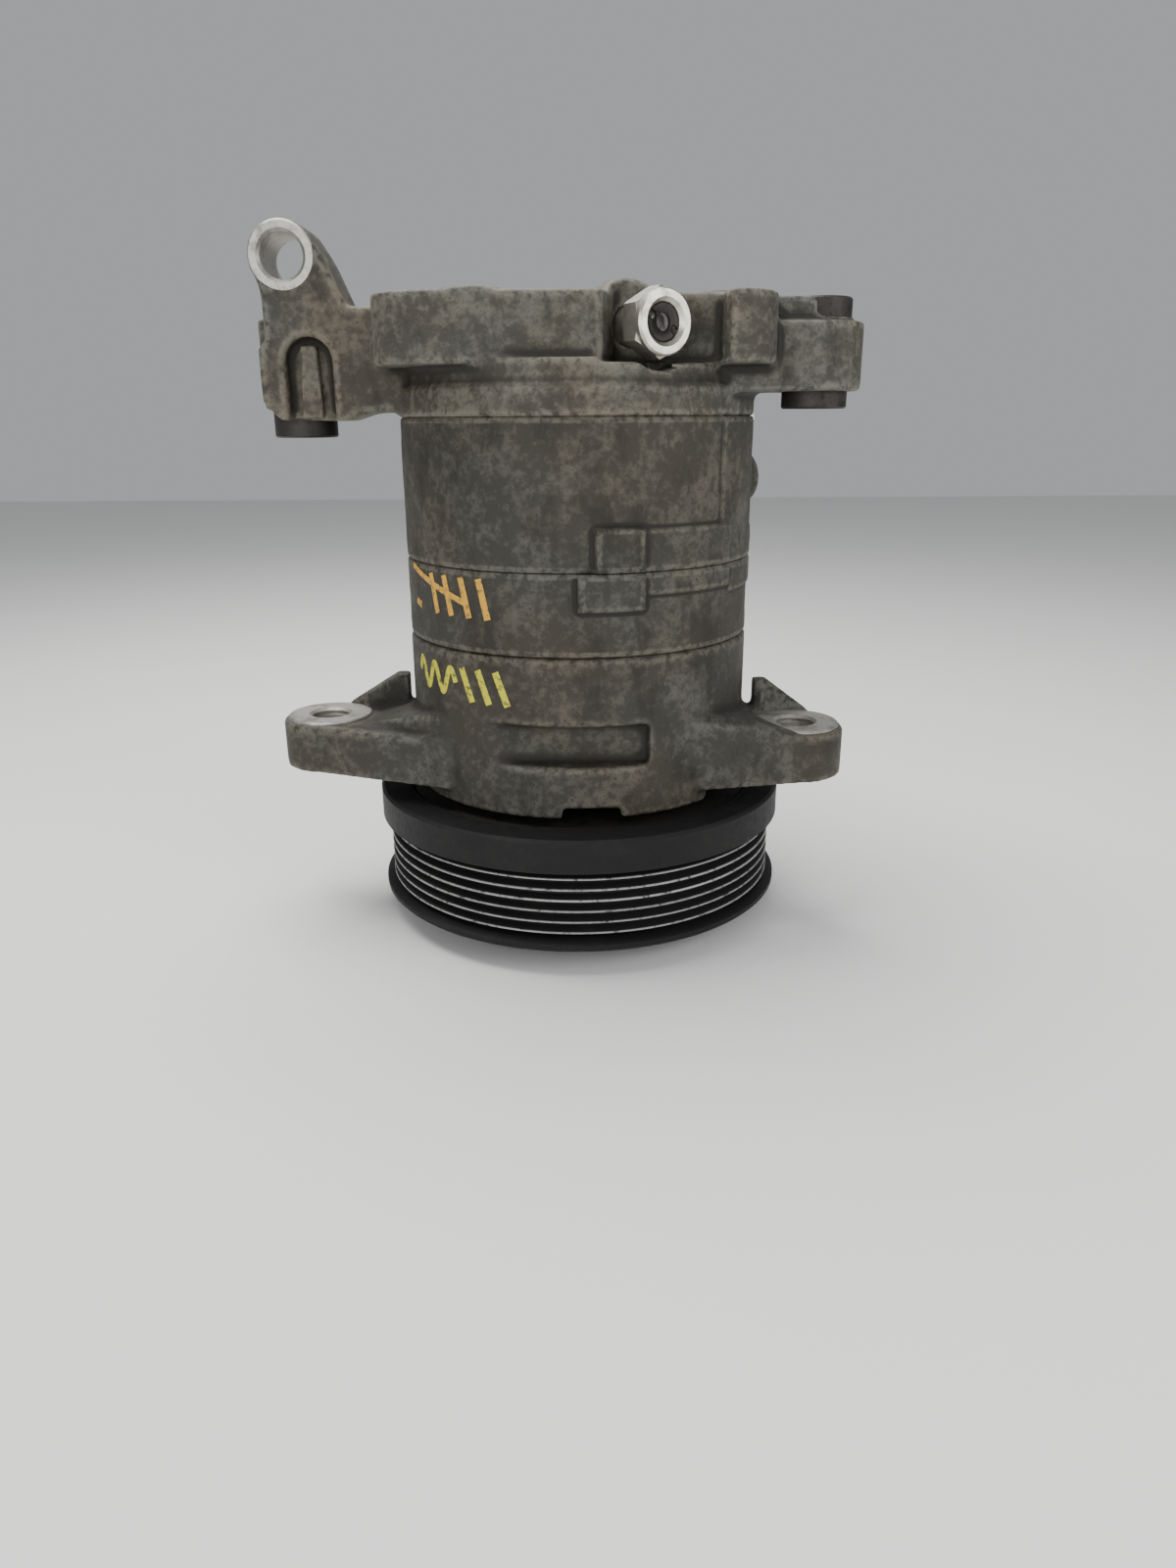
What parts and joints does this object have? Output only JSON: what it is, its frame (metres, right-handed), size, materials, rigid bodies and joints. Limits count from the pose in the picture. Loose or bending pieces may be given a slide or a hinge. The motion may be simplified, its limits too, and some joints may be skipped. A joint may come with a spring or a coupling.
{
  "type": "automotive air conditioning compressor",
  "caption": "Belt-driven vehicle air-conditioning compressor with grooved clutch pulley, cylindrical cast body, bolt ears at both ends and a pressure relief valve.",
  "frame": {"origin": "on the shaft axis, at the front face of the clutch hub", "axes": "+Z along the shaft from the clutch to the rear head, +X towards the side of the plain rear arm and the service plug, -Y towards the side of the relief valve"},
  "size_m": [0.1867, 0.138, 0.217],
  "materials": {
    "cast_aluminium": "as cast, grimy",
    "bright_steel": "satin",
    "dark_steel": "oiled, dark",
    "black_paint": "worn satin",
    "bright_zinc": "bright plated",
    "brown_polymer": "matte",
    "coil_resin": "matte",
    "black_rubber": "matte"
  },
  "bodies": {
    "housing": {"front_head": "cast_aluminium", "centre_housing": "cast_aluminium", "fixed_scroll": "cast_aluminium", "rear_head": "cast_aluminium", "seam_ring_front": "black_rubber", "seam_ring_centre": "black_rubber", "seam_ring_rear": "black_rubber", "thrust_plate": "bright_steel", "anti_rotation_pin_1": "bright_steel", "anti_rotation_pin_2": "bright_steel", "anti_rotation_pin_3": "bright_steel", "main_bearing_outer_race": "bright_steel", "front_bearing": "bright_steel", "shaft_seal": "black_rubber", "nose_snap_ring": "bright_steel", "pulley_bearing_inner_race": "bright_steel", "clutch_coil_case": "dark_steel", "clutch_coil_winding": "coil_resin", "relief_valve_body": "bright_zinc", "relief_cage": "bright_zinc", "relief_spring": "bright_steel", "reed_stop": "bright_steel", "reed_screw": "bright_steel", "service_plug": "bright_zinc", "rear_bush_left": "dark_steel", "rear_bush_right": "dark_steel", "through_bolt_1": "dark_steel", "through_bolt_2": "dark_steel", "through_bolt_3": "dark_steel", "through_bolt_4": "dark_steel", "through_bolt_5": "dark_steel", "through_bolt_6": "dark_steel"},
    "shaft": {"drive_shaft": "bright_steel", "main_bearing_inner_race": "bright_steel", "eccentric_bush": "bright_steel", "counterweight": "dark_steel", "clutch_hub": "black_paint", "hub_bolt": "bright_steel", "hub_rivet_1": "bright_steel", "hub_rivet_2": "bright_steel", "hub_rivet_3": "bright_steel", "leaf_spring_1": "dark_steel", "leaf_spring_2": "dark_steel", "leaf_spring_3": "dark_steel"},
    "armature": {"armature_plate": "black_paint", "armature_rivet_1": "bright_steel", "armature_rivet_2": "bright_steel", "armature_rivet_3": "bright_steel"},
    "orbiting_unit": {"orbiting_scroll": "cast_aluminium", "drive_bearing": "bright_steel", "anti_rotation_ring_1": "bright_steel", "anti_rotation_ring_2": "bright_steel", "anti_rotation_ring_3": "bright_steel"},
    "main_cage": {"main_bearing_cage": "brown_polymer"},
    "pulley_wheel": {"pulley": "black_paint", "pulley_bearing_outer_race": "bright_steel"},
    "pulley_cage": {"pulley_bearing_cage": "brown_polymer"},
    "reed": {"discharge_reed": "bright_steel"},
    "poppet": {"relief_poppet": "bright_steel"}
  },
  "joints": [
    {"name": "shaft_spin", "type": "hinge", "parent": "housing", "child": "shaft", "pos_m": [0, 0, 0.05], "axis": [0, 0, 1], "continuous": true},
    {"name": "armature_slide", "type": "slide", "parent": "shaft", "child": "armature", "axis": [0, 0, 1], "range_m": [0, 0.0005], "stiffness_N_per_m": 2000, "deforming": ["leaf_spring_1", "leaf_spring_2", "leaf_spring_3"]},
    {"name": "orbit_turn", "type": "hinge", "parent": "shaft", "child": "orbiting_unit", "pos_m": [0.004, 0, 0.12], "axis": [0, 0, 1], "continuous": true},
    {"name": "main_cage_spin", "type": "hinge", "parent": "housing", "child": "main_cage", "pos_m": [0, 0, 0.0865], "axis": [0, 0, 1], "continuous": true},
    {"name": "pulley_spin", "type": "hinge", "parent": "housing", "child": "pulley_wheel", "pos_m": [0, 0, 0.0236], "axis": [0, 0, 1], "continuous": true},
    {"name": "pulley_cage_spin", "type": "hinge", "parent": "housing", "child": "pulley_cage", "pos_m": [0, 0, 0.0236], "axis": [0, 0, 1], "continuous": true},
    {"name": "reed_lift", "type": "hinge", "parent": "housing", "child": "reed", "pos_m": [0, 0.0085, 0.163], "axis": [-1, 0, 0], "range_deg": [0, 7], "stiffness_Nm_per_rad": 0.0005},
    {"name": "poppet_slide", "type": "slide", "parent": "housing", "child": "poppet", "axis": [0.5225, -0.8526, 0], "range_m": [0, 0.0012], "stiffness_N_per_m": 150, "deforming": ["relief_spring"]}
  ],
  "couplings": [
    {"joint": "orbit_turn", "follows": "shaft_spin", "ratio": -1},
    {"joint": "main_cage_spin", "follows": "shaft_spin", "ratio": 0.4217},
    {"joint": "pulley_cage_spin", "follows": "pulley_spin", "ratio": 0.5536}
  ]
}
